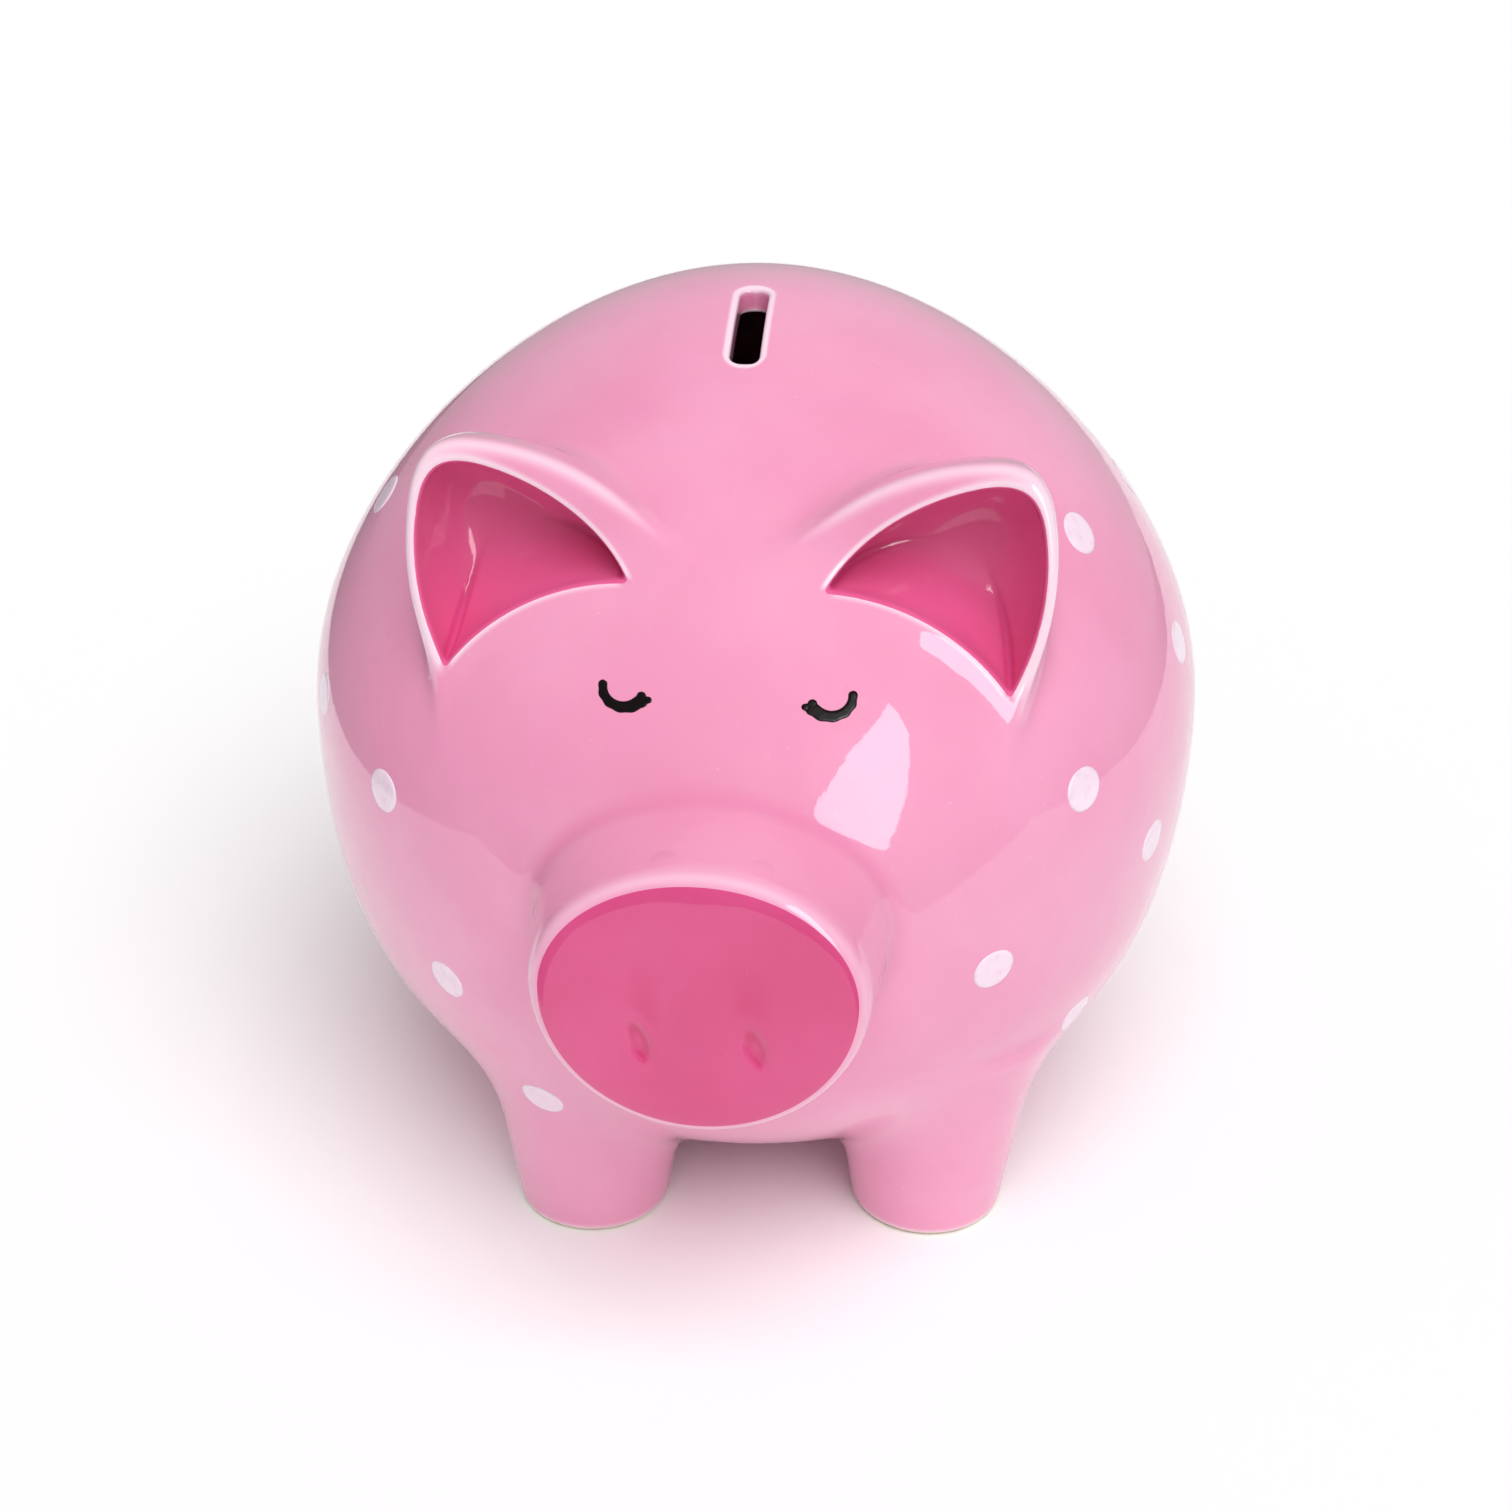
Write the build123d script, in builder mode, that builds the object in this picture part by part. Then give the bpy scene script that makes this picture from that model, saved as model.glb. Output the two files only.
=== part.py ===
"""Pig-shaped ceramic coin bank: hollow body with a coin slot, and a soft stopper in its belly.

Millimetres, +Z up. The pig faces -Y and its left side is +X. The origin is on the floor,
below the middle of the round body. Every casting of the glazed ceramic is its own solid.
"""

import os
from math import cos, pi, radians, sin, tanh

from build123d import *

# Body: round in plan, with an egg outline in elevation that is fullest at the waist.
BODY_RADIUS = 100.0
WAIST_HEIGHT = 102.5
CROWN_RISE = 99.5  # waist up to the top of the body
BELLY_DROP = 92.5  # waist down to the underside
CROWN_POWER = 1.80  # 2 would be an ellipse, less is more pointed
BELLY_POWER = 2.57  # more than 2 is fuller than an ellipse
WAIST_BLEND = 35.0  # height over which one power runs into the other
WALL = 5.5
OUTLINE_STEPS = 12  # spans of the outline from waist to crown, and from waist to belly

# Coin slot, along Y on the forehead side of the crown.
SLOT_WIDTH = 6.0
SLOT_LENGTH = 26.0
SLOT_CORNER = 2.5
SLOT_X = -0.8
SLOT_Y = -16.5

# Snout: an oval collar that ends in a flat disc. Both are taller below their widest line.
SNOUT_REACH = 122.0  # front of the snout, forward of the body axis
SNOUT_WIDEST_Z = 101.5
SNOUT_DISC = (31.0, 24.5, 31.0)  # half width, height above and below the widest line
SNOUT_RIM = (33.4, 27.2, 33.4)
SNOUT_ROOT = (36.5, 27.5, 34.0)
SNOUT_DISC_THICKNESS = 2.8
SNOUT_SHOULDER = 4.0  # run from the rim forward to the edge of the disc
SNOUT_ROOT_Y = -84.0
DISC_EDGE = 1.2
NOSTRIL_X = 11.3
NOSTRIL_Z = 93.0
NOSTRIL_SIZE = (4.2, 1.6, 12.0)  # half width, depth, half height

# Ears: cups that open forward. Their mouth is drawn on a plane that leans back.
EAR_BASE = (38.0, -69.0, 155.0)
EAR_LEAN = 8.0
EAR_INNER_CORNER = (-18.6, 10.0)
EAR_OUTER_CORNER = (18.2, -10.0)
EAR_CREST = ((-2.5, 25.5), (11.0, 31.2), (20.5, 26.0), (23.5, 14.0))
EAR_MIDDLE = (6.0, 12.0)  # the outline shrinks towards this point
EAR_HALF_MOUTH = 20.0
EAR_RIM = 4.8
EAR_DEPTH = 19.0
EAR_STATIONS = ((0.0, 1.0), (0.45, 0.93), (0.8, 0.70), (1.0, 0.36))  # share of depth, of size
EAR_LINING = 0.8

# Legs: cones, wider where they join the belly.
LEG_X = 38.5
LEG_Y = 52.0
LEG_TURN = 5.0  # degrees that the four legs are turned, about the body's axis, from the face
LEG_SHIFT = 2.4  # how far all four stand towards the pig's left
FOOT_RADIUS = 17.2
LEG_TOP_RADIUS = 21.4
LEG_HEIGHT = 46.0
FOOT_EDGE = 1.2

# Tail: one curl behind the body, which reaches as far back as the snout reaches forward.
TAIL_REACH = SNOUT_REACH
TAIL_RADIUS = 4.8
TAIL_CURL_RADIUS = 10.0
TAIL_TURNS = 1.2
TAIL_START_Y = 92.0
TAIL_Z = 112.0

# Stopper: a soft plug in a round hole under the belly, with a grip bar across its pocket.
HOLE_RADIUS = 19.0
LIP_RADIUS = 18.8
NECK_RADIUS = 17.8
LIP_HEIGHT = 3.5
FLANGE_RADIUS = 23.0
FLANGE_THICKNESS = 2.8
FLANGE_GAP = 0.3
PLUG_HEIGHT = 13.0  # top of the flange to the top of the lip
POCKET_RADIUS = 13.5
POCKET_DEPTH = 10.0
GRIP_WIDTH = 4.0
STOPPER_EDGE = 0.8

# Printed decoration stands a little proud of the glaze.
PRINT = 0.25
PRINT_REACH = 6.0  # how far the cutter of a printed shape runs each way
EYE_X = 20.5
EYE_Z = 147.8
EYE_RADIUS = 4.1
EYE_STROKE = 1.9
EYE_SWEEP = 150.0
LASHES = ((-62.0, 1.3), (-28.0, 0.9), (4.0, 0.9))  # angle from straight down, radius
DOT_RADIUS = 4.8
# Angle from the snout towards the pig's left, and height. The other half repeats these.
DOT_PLACES = (
    (66, 162), (79, 131), (48, 121), (64, 96), (35, 86), (55, 56),
    (-46, 113), (-37, 72), (-80, 155), (-67, 118), (-26, 44),
)


def outline_radius(rise, inset):
    """Radius of the body at a rise above the waist, for an outline set in by a wall."""
    power = (CROWN_POWER + BELLY_POWER) / 2
    power += (CROWN_POWER - BELLY_POWER) / 2 * tanh(rise / WAIST_BLEND)
    reach = (CROWN_RISE if rise > 0 else BELLY_DROP) - inset
    share = max(0.0, 1 - (abs(rise) / reach) ** power)
    return (BODY_RADIUS - inset) * share ** (1 / power)


def outline(inset):
    """Points of the body outline, from the belly up to the crown."""
    turns = [pi / 2 * i / OUTLINE_STEPS for i in range(OUTLINE_STEPS + 1)]
    rises = [-(BELLY_DROP - inset) * cos(t) for t in turns[:-1]]
    rises += [(CROWN_RISE - inset) * sin(t) for t in turns]
    return [(outline_radius(rise, inset), WAIST_HEIGHT + rise) for rise in rises]


def turned(outer_inset, inner_inset=None):
    """The body outline turned about Z, solid or as the layer between two insets."""
    outer = outline(outer_inset)
    with BuildPart() as solid:
        with BuildSketch(Plane.XZ):
            with BuildLine():
                Spline(*outer, tangents=((1, 0), (-1, 0)))
                if inner_inset is None:
                    Line(outer[-1], outer[0])
                else:
                    inner = outline(inner_inset)
                    Spline(*inner, tangents=((1, 0), (-1, 0)))
                    Line(outer[-1], inner[-1])
                    Line(outer[0], inner[0])
            make_face()
        revolve(axis=Axis.Z)
    return solid.part


def surface_plane(angle, height):
    """A plane square to the body surface, at an angle from the snout and a height."""
    rise = height - WAIST_HEIGHT
    radius = outline_radius(rise, 0)
    slope = outline_radius(rise + 0.5, 0) - outline_radius(rise - 0.5, 0)
    out_x, out_y = sin(radians(angle)), -cos(radians(angle))
    return Plane(
        origin=(radius * out_x, radius * out_y, height),
        x_dir=(-out_y, out_x, 0),
        z_dir=(out_x, out_y, -slope),
    )


body = turned(0)
printed_layer = turned(-PRINT, 0)


# ---- Snout ----


def snout_oval(y, sizes):
    """An oval across Y whose lower half is taller than its upper half."""
    half_width, above, below = sizes
    widest = (0, SNOUT_WIDEST_Z)
    with BuildSketch(Plane.XZ.offset(-y)) as oval:
        with BuildLine():
            EllipticalCenterArc(widest, half_width, above, 0, arc_size=180)
            EllipticalCenterArc(widest, half_width, below, 180, arc_size=180)
        make_face()
    return oval.sketch


disc_back_y = -SNOUT_REACH + SNOUT_DISC_THICKNESS
nostril = scale(Sphere(1), by=NOSTRIL_SIZE)

with BuildPart() as snout:
    add(snout_oval(SNOUT_ROOT_Y, SNOUT_ROOT))
    add(snout_oval(disc_back_y + SNOUT_SHOULDER, SNOUT_RIM))
    add(snout_oval(disc_back_y, SNOUT_DISC))
    loft(ruled=True)
    add(body, mode=Mode.SUBTRACT)
snout.part.label = "snout"

with BuildPart() as snout_disc:
    add(snout_oval(disc_back_y, SNOUT_DISC))
    add(snout_oval(DISC_EDGE - SNOUT_REACH, SNOUT_DISC))
    add(snout_oval(-SNOUT_REACH, [size - DISC_EDGE for size in SNOUT_DISC]))
    loft(ruled=True)
    for side in (-1, 1):
        add(Pos(side * NOSTRIL_X, -SNOUT_REACH, NOSTRIL_Z) * nostril, mode=Mode.SUBTRACT)
snout_disc.part.label = "snout_disc"


# ---- Ears ----


def ear_plane():
    """The plane of the left ear's mouth. Its X is the pig's left and its Y runs up."""
    lean = radians(EAR_LEAN)
    return Plane(origin=EAR_BASE, x_dir=(1, 0, 0), z_dir=(0, -cos(lean), sin(lean)))


def ear_cup(grow, depth):
    """A rounded cup behind the ear's mouth, larger than the mouth by grow."""
    middle_x, middle_y = EAR_MIDDLE
    crest = [EAR_INNER_CORNER, *EAR_CREST, EAR_OUTER_CORNER]
    with BuildPart() as cup:
        for deep, wide in EAR_STATIONS:
            size = wide * (1 + grow / EAR_HALF_MOUTH)
            points = [
                (middle_x + size * (x - middle_x), middle_y + size * (y - middle_y))
                for x, y in crest
            ]
            with BuildSketch(ear_plane().offset(-deep * depth)):
                with BuildLine():
                    Spline(*points)
                    Line(points[-1], points[0])
                make_face()
        loft()
    return cup.part


ear_outside = ear_cup(EAR_RIM, EAR_DEPTH + EAR_RIM)
ear_inside = ear_cup(0, EAR_DEPTH)
lining_inside = ear_cup(-EAR_LINING, EAR_DEPTH - EAR_LINING)

with BuildPart() as left_ear:
    add(ear_outside)
    add(ear_inside, mode=Mode.SUBTRACT)
left_ear.part.label = "left_ear"

with BuildPart() as left_ear_lining:
    add(ear_inside)
    add(lining_inside, mode=Mode.SUBTRACT)
left_ear_lining.part.label = "left_ear_lining"

with BuildPart() as right_ear:
    add(mirror(left_ear.part, about=Plane.YZ))
right_ear.part.label = "right_ear"

with BuildPart() as right_ear_lining:
    add(mirror(left_ear_lining.part, about=Plane.YZ))
right_ear_lining.part.label = "right_ear_lining"


# ---- Body ----

with BuildPart() as body_shell:
    add(turned(0, WALL))
    add(ear_outside, mode=Mode.SUBTRACT)
    add(mirror(ear_outside, about=Plane.YZ), mode=Mode.SUBTRACT)
    with BuildSketch(Plane.XY.offset(WAIST_HEIGHT)):
        with Locations((SLOT_X, SLOT_Y)):
            RectangleRounded(SLOT_WIDTH, SLOT_LENGTH, SLOT_CORNER)
    extrude(amount=CROWN_RISE + WALL, mode=Mode.SUBTRACT)
    with BuildSketch(Plane.XY.offset(WAIST_HEIGHT)):
        Circle(HOLE_RADIUS)
    extrude(amount=-WAIST_HEIGHT, mode=Mode.SUBTRACT)
body_shell.part.label = "body_shell"


# ---- Legs ----


def leg(x, y):
    """A tapered leg with a rounded foot, turned with the others and cut to sit on the belly."""
    place = Vector(x, y, 0).rotate(Axis.Z, LEG_TURN) + Vector(LEG_SHIFT, 0, 0)
    with BuildPart() as solid:
        with Locations(place):
            Cone(FOOT_RADIUS, LEG_TOP_RADIUS, LEG_HEIGHT, align=(Align.CENTER, Align.CENTER, Align.MIN))
        fillet(solid.edges().group_by(Axis.Z)[0], radius=FOOT_EDGE)
        add(body, mode=Mode.SUBTRACT)
    return solid.part


legs = {
    "front_left_leg": leg(LEG_X, -LEG_Y),
    "front_right_leg": leg(-LEG_X, -LEG_Y),
    "rear_left_leg": leg(LEG_X, LEG_Y),
    "rear_right_leg": leg(-LEG_X, LEG_Y),
}
for name, solid in legs.items():
    solid.label = name


# ---- Tail ----

curl_length = TAIL_REACH - TAIL_RADIUS - TAIL_START_Y
with BuildPart() as tail:
    with BuildLine():
        curl = Helix(
            pitch=curl_length / TAIL_TURNS,
            height=curl_length,
            radius=TAIL_CURL_RADIUS,
            center=(0, TAIL_START_Y, TAIL_Z),
            direction=(0, 1, 0),
        )
    with BuildSketch(Plane(origin=curl @ 0, z_dir=curl % 0)):
        Circle(TAIL_RADIUS)
    sweep(path=curl, is_frenet=True)
    with Locations(curl @ 1):
        Sphere(TAIL_RADIUS)
    add(body, mode=Mode.SUBTRACT)
tail.part.label = "tail"


# ---- Stopper ----

belly_z = WAIST_HEIGHT - BELLY_DROP
flange_top = belly_z - FLANGE_GAP
flange_bottom = flange_top - FLANGE_THICKNESS
plug_top = flange_top + PLUG_HEIGHT
with BuildPart() as stopper:
    with BuildSketch(Plane.XZ):
        with BuildLine():
            Polyline(
                (0, flange_bottom),
                (FLANGE_RADIUS, flange_bottom),
                (FLANGE_RADIUS, flange_top),
                (NECK_RADIUS, flange_top),
                (NECK_RADIUS, plug_top - LIP_HEIGHT),
                (LIP_RADIUS, plug_top - LIP_HEIGHT / 2),
                (NECK_RADIUS, plug_top),
                (0, plug_top),
                close=True,
            )
        make_face()
    revolve(axis=Axis.Z)
    with BuildSketch(Plane.XY.offset(flange_bottom)):
        Circle(POCKET_RADIUS)
        Rectangle(2 * POCKET_RADIUS, GRIP_WIDTH, mode=Mode.SUBTRACT)
    extrude(amount=POCKET_DEPTH, mode=Mode.SUBTRACT)
    fillet(stopper.edges().group_by(Axis.Z)[0].sort_by(Edge.length)[-1], radius=STOPPER_EDGE)
stopper.part.label = "stopper"


# ---- Printed eyes and dots ----


def printed(place, flat_shape):
    """A flat shape on a plane square to the body, as a piece of the printed layer."""
    with BuildPart() as mark:
        with BuildSketch(place.offset(-PRINT_REACH)):
            add(flat_shape)
        extrude(amount=2 * PRINT_REACH)
        add(printed_layer, mode=Mode.INTERSECT)
    return mark.part


def closed_eye():
    """A closed lid: an arc that hangs down, with three lashes under it."""
    with BuildSketch(mode=Mode.PRIVATE) as lid:
        with BuildLine():
            CenterArc((0, 0), EYE_RADIUS, -90 - EYE_SWEEP / 2, EYE_SWEEP)
        trace(line_width=EYE_STROKE)
        for end in (-1, 1):
            turn = radians(end * EYE_SWEEP / 2)
            with Locations((EYE_RADIUS * sin(turn), -EYE_RADIUS * cos(turn))):
                Circle(EYE_STROKE / 2)
        for angle, radius in LASHES:
            turn = radians(angle)
            with Locations(((EYE_RADIUS + 1) * sin(turn), -(EYE_RADIUS + 1) * cos(turn))):
                Circle(radius)
    return lid.sketch


left_eye_plane = Plane(origin=(EYE_X, -84.0, EYE_Z), x_dir=(1, 0, 0), z_dir=(0, -1, 0.5))
with BuildPart() as left_eye:
    add(printed(left_eye_plane, closed_eye()))
left_eye.part.label = "left_eye"

with BuildPart() as right_eye:
    add(mirror(left_eye.part, about=Plane.YZ))
right_eye.part.label = "right_eye"

with BuildSketch() as dot:
    Circle(DOT_RADIUS)
with BuildPart() as polka_dots:
    for angle, height in DOT_PLACES:
        add(printed(surface_plane(angle, height), dot.sketch))
        add(printed(surface_plane(angle + 180, height), dot.sketch))
    for solid in legs.values():
        add(solid, mode=Mode.SUBTRACT)
polka_dots.part.label = "polka_dots"


# ---- Files ----

pieces = {
    piece.part.label: piece.part
    for piece in (
        body_shell, snout, snout_disc, left_ear, right_ear, left_ear_lining, right_ear_lining,
        tail, stopper, left_eye, right_eye, polka_dots,
    )
}
os.makedirs("parts", exist_ok=True)
for name, piece in {**pieces, **legs}.items():
    export_step(piece, f"parts/{name}.step")
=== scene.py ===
"""Pig-shaped ceramic coin bank: glazed skin, printed eyes and dots, and soft stopper.

The skin is one continuous surface, the zero level of a distance field, cut into its named
castings along smooth seams. Fields work in millimetres, and Blender objects are in metres.
"""

import math

import bpy
import numpy as np
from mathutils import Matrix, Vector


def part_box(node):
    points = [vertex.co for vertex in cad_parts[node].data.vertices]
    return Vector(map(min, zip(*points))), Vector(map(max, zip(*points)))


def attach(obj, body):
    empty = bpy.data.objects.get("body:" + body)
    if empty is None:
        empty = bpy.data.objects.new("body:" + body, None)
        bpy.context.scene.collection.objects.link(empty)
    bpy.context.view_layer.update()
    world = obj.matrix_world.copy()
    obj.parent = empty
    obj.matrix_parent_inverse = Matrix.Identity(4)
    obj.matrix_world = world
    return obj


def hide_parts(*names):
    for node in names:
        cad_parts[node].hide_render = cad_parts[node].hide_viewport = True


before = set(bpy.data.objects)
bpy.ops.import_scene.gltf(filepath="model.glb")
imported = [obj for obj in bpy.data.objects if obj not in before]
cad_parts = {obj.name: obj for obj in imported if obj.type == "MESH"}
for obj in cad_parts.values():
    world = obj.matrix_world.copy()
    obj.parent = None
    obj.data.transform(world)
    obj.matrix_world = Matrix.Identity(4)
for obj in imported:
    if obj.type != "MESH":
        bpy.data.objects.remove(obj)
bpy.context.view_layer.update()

import openvdb
from mathutils import Matrix, Vector

MM = 0.001


def box_mm(node):
    """Lowest and highest corner of a CAD node, in millimetres."""
    return tuple(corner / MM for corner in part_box(node))


# ---- Driving sizes, in millimetres, from the frame ----

body_low, body_high = box_mm("body_shell")
disc_low, disc_high = box_mm("snout_disc")
tail_low, tail_high = box_mm("tail")

BODY_RADIUS = (body_high.x - body_low.x) / 2
CROWN_Z = body_high.z
WAIST_Z = 102.5
CROWN_RISE = CROWN_Z - WAIST_Z
BELLY_DROP = 92.5
CROWN_POWER, BELLY_POWER, WAIST_BLEND = 1.80, 2.57, 35.0
WALL = 5.5

SLOT_HALF_WIDTH, SLOT_HALF_LENGTH, SLOT_CORNER = 3.0, 13.0, 2.5
SLOT_X, SLOT_Y = -0.8, -16.5
SLOT_LIP = 1.8
HOLE_RADIUS = 19.0
HOLE_LIP = 1.2
CAVITY_EDGE = 1.0  # rounding where the cavity's wall meets the slot and the hole

SNOUT_REACH = -disc_low.y
SNOUT_WIDEST_Z = 102.0
DISC_HALF_WIDTH = (disc_high.x - disc_low.x) / 2
DISC_ABOVE, DISC_BELOW = 26.0, 30.5
COLLAR_GROWTH = 2.6  # how far the collar stands out round the disc
COLLAR_FLARE = (0.10, 0.01, 0.02)  # growth of each half size per millimetre towards the body
SNOUT_SHOULDER = 6.4
SNOUT_DOME = 420.0
SNOUT_FILLET = 5.5
NOSTRIL = (11.4, 100.0)  # a faint groove: distance from the middle, height
NOSTRIL_SIZE = (4.6, 0.5, 13.5)  # half width, depth and half height
PIT = (11.4, 91.5)  # the deeper hole at the groove's lower end
PIT_SIZE = (2.5, 1.5, 5.2)
PIT_LEAN = -0.25
PIT_JOIN, NOSTRIL_LIP = 0.8, 2.0

EAR_BASE = (38.0, -69.0, 155.0)
EAR_LEAN = math.radians(8.0)
EAR_CREST_ARC = (22.3, -15.8, 48.1)  # centre and radius of the long upper edge
EAR_OUTER_ARC = (-29.9, 13.2, 53.9)
EAR_LIP_ARC = (-22.4, -40.6, 51.0)  # the mouth's lower edge curves over the head
EAR_RIM, EAR_RIM_TAPER = 6.4, 0.14  # the rim's width, and how it thins towards the outer side
EAR_DEPTH = 18.0
EAR_REACH = 8.0  # how far the bowl cuts forward through the brow
EAR_LIP = 2.2
EAR_TIP_ROUND = 12.0
BOWL_CORNER, BOWL_BOTTOM_ROUND = 2.0, 12.0
BOWL_TAPER, HOOD_TAPER = 60.0, 110.0  # millimetres: larger narrows more slowly with depth
HOOD_CORNER, HOOD_BACK_ROUND, HOOD_FRONT_ROUND = 4.0, 16.0, 5.0
HOOD_UNDERLAP = 1.5  # how far the hood reaches below the mouth's lower edge
BOWL_WALL = 3.0
EAR_FILLET = 9.0

LEG_X, LEG_Y = 38.5, 52.0
LEG_TURN = math.radians(5.0)  # the four legs are turned a little from the face
LEG_SHIFT = 2.4  # and stand a little to the pig's left
FOOT_RADIUS, LEG_SLOPE = 17.2, 0.14
LEG_TOP_Z, LEG_TOP_ROUND = 50.0, 4.0
LEG_FILLET = 13.0
FOOT_EDGE = 3.0
BARE_FOOT = 1.1

TAIL_RADIUS, TAIL_TIP_RADIUS, TAIL_CURL_RADIUS, TAIL_TURNS = 4.8, 3.2, 10.0, 1.2
TAIL_START_Y, TAIL_Z = 92.0, 112.0
TAIL_POINTS, TAIL_JOIN = 37, 0.6
TAIL_ROOM, TAIL_FAR = 12.0, 50.0  # how far forward its field is worked out, and the value beyond
TAIL_FILLET = 5.0

EYE = (20.4, 149.1)  # distance from the middle of the face, height
EYE_SHIFT = 1.7  # the printed face sits a little to the pig's left
EYE_HOLLOW = 3.3  # radius inside the arc
EYE_SQUASH = 0.86  # the arc's height, as a share of a round one's
EYE_STROKE = (1.95, 2.9)  # at the outer end, and at the inner end
EYE_SWEEP = (-88.0, 52.0)  # degrees from straight down, towards the nose
LASHES = ((72.0, 4.3, 0.95), (70.0, 5.9, 0.8), (58.0, 5.4, 0.95))  # degrees, reach and radius

DOT_RADIUS = 4.8
DOT_PLACES = (
    (66, 162), (79, 131), (48, 121), (64, 96), (35, 86), (55, 56),
    (-46, 113), (-37, 72), (-80, 155), (-67, 118), (-26, 44),
)  # degrees round from the snout towards the pig's left, and height
PRINT_HEIGHT, PRINT_ROUND, PRINT_SUNK = 0.22, 0.7, 0.4
EYE_GRID, DOT_GRID = (8.0, 0.16), (DOT_RADIUS + 1, 0.5)  # half size and step of the flat mesh

VOXEL = 1.25
TIGHT_BEND = 0.14  # the mesh is twice as fine where the skin curves more than this
MARGIN = 4.0
FAR = 3.0  # fields are only kept this far from the surface
SLAB = 16  # rows of the grid that are filled at a time
COAT = 1.0  # how deep the separate castings run below their glaze


# ---- Distance fields: points are x, y, z arrays, and inside is negative ----


def smooth_min(a, b, reach):
    """The lesser of two fields, rounded where they come within reach of each other."""
    near = np.maximum(reach - np.abs(a - b), 0) / reach
    return np.minimum(a, b) - near**3 * reach / 6


def smooth_max(a, b, reach):
    return -smooth_min(-a, -b, reach)


def egg(x, y, z, inset=0.0):
    """The round body: a circle in plan, with a power-curve outline in elevation."""
    radius, rise = np.hypot(x, y), z - WAIST_Z
    power = (CROWN_POWER + BELLY_POWER) / 2
    power = power + (CROWN_POWER - BELLY_POWER) / 2 * np.tanh(rise / WAIST_BLEND)
    reach = np.where(rise > 0, CROWN_RISE, BELLY_DROP) - inset
    level = (radius / (BODY_RADIUS - inset)) ** power + (np.abs(rise) / reach) ** power
    level = np.maximum(level, 1e-3) ** (1 / power)
    return np.hypot(radius, rise) * (1 - 1 / level)


def oval(x, rise, half_width, above, below):
    """Distance to an oval whose lower half is taller than its upper half."""
    height = np.where(rise > 0, above, below)
    level = np.maximum(np.hypot(x / half_width, rise / height), 1e-3)
    return np.hypot(x, rise) * (1 - 1 / level)


def disc_edge(x, y, z):
    """The outline of the snout's disc, which only counts at the front."""
    edge = oval(x, z - SNOUT_WIDEST_Z, DISC_HALF_WIDTH, DISC_ABOVE, DISC_BELOW)
    return np.where(y < SNOUT_SHOULDER - SNOUT_REACH, edge, FAR)


def snout(x, y, z):
    rise, back = z - SNOUT_WIDEST_Z, y + SNOUT_REACH
    sizes = [
        size + COLLAR_GROWTH + flare * (back - SNOUT_SHOULDER)
        for size, flare in zip((DISC_HALF_WIDTH, DISC_ABOVE, DISC_BELOW), COLLAR_FLARE)
    ]
    front = (x**2 + rise**2) / (2 * SNOUT_DOME) - back
    collar = smooth_max(oval(x, rise, *sizes), front, SNOUT_SHOULDER)
    return np.maximum(collar, y + BODY_RADIUS / 2)


def dent(across, y, rise, size):
    """Distance to half an ellipsoid that sinks into the snout's face."""
    level = (across / size[0]) ** 2 + ((y + SNOUT_REACH) / size[1]) ** 2 + (rise / size[2]) ** 2
    return (np.sqrt(level) - 1) * size[1]


def nostrils(x, y, z):
    """Two faint upright grooves, each with a deeper leaning pit at its lower end."""
    side = np.where(x > 0, 1.0, -1.0)
    grooves = dent(np.abs(x) - NOSTRIL[0], y, z - NOSTRIL[1], NOSTRIL_SIZE)
    rise = z - PIT[1]
    pits = dent(x - side * PIT[0] - PIT_LEAN * rise, y, rise, PIT_SIZE)
    return smooth_min(grooves, pits, PIT_JOIN)


def ear_frame(x, y, z):
    """Across, up and behind the mouth of the ear on this point's side."""
    across, forward, rise = np.abs(x) - EAR_BASE[0], y - EAR_BASE[1], z - EAR_BASE[2]
    up = forward * math.sin(EAR_LEAN) + rise * math.cos(EAR_LEAN)
    behind = forward * math.cos(EAR_LEAN) - rise * math.sin(EAR_LEAN)
    return across, up, behind


def ear_outline(across, up):
    """Distances, seen square on, to the ear mouth's upper edges and to its lower lip."""
    crest, outer, lip = (
        np.hypot(across - middle_x, up - middle_y) - radius
        for middle_x, middle_y, radius in (EAR_CREST_ARC, EAR_OUTER_ARC, EAR_LIP_ARC)
    )
    return smooth_max(crest, outer, EAR_TIP_ROUND), -lip


def ear_bowl(x, y, z):
    across, up, behind = ear_frame(x, y, z)
    edge, lip = ear_outline(across, up)
    side = smooth_max(edge, lip, BOWL_CORNER) + np.maximum(behind, 0) ** 2 / BOWL_TAPER
    cup = smooth_max(side, behind - EAR_DEPTH, BOWL_BOTTOM_ROUND)
    return smooth_max(cup, -behind - EAR_REACH, BOWL_CORNER)


def ear_hood(x, y, z):
    across, up, behind = ear_frame(x, y, z)
    edge, lip = ear_outline(across, up)
    rim = EAR_RIM - EAR_RIM_TAPER * across
    side = smooth_max(edge - rim, lip - HOOD_UNDERLAP, HOOD_CORNER)
    side = side + np.maximum(behind, 0) ** 2 / HOOD_TAPER
    hood = smooth_max(side, behind - EAR_DEPTH - EAR_RIM, HOOD_BACK_ROUND)
    return smooth_max(hood, -behind, HOOD_FRONT_ROUND)


def leg_frame(x, y):
    """Across and along the legs' own rectangle, which is turned from the face."""
    cosine, sine = math.cos(LEG_TURN), math.sin(LEG_TURN)
    shifted = x - LEG_SHIFT
    return shifted * cosine + y * sine, y * cosine - shifted * sine


def leg(x, y, z):
    """The leg on this point's quarter of the body."""
    across, along = leg_frame(x, y)
    around = np.hypot(np.abs(across) - LEG_X, np.abs(along) - LEG_Y)
    cone = (around - FOOT_RADIUS - LEG_SLOPE * z) * math.cos(math.atan(LEG_SLOPE))
    return smooth_max(smooth_max(cone, -z, FOOT_EDGE), z - LEG_TOP_Z, LEG_TOP_ROUND)


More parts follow.
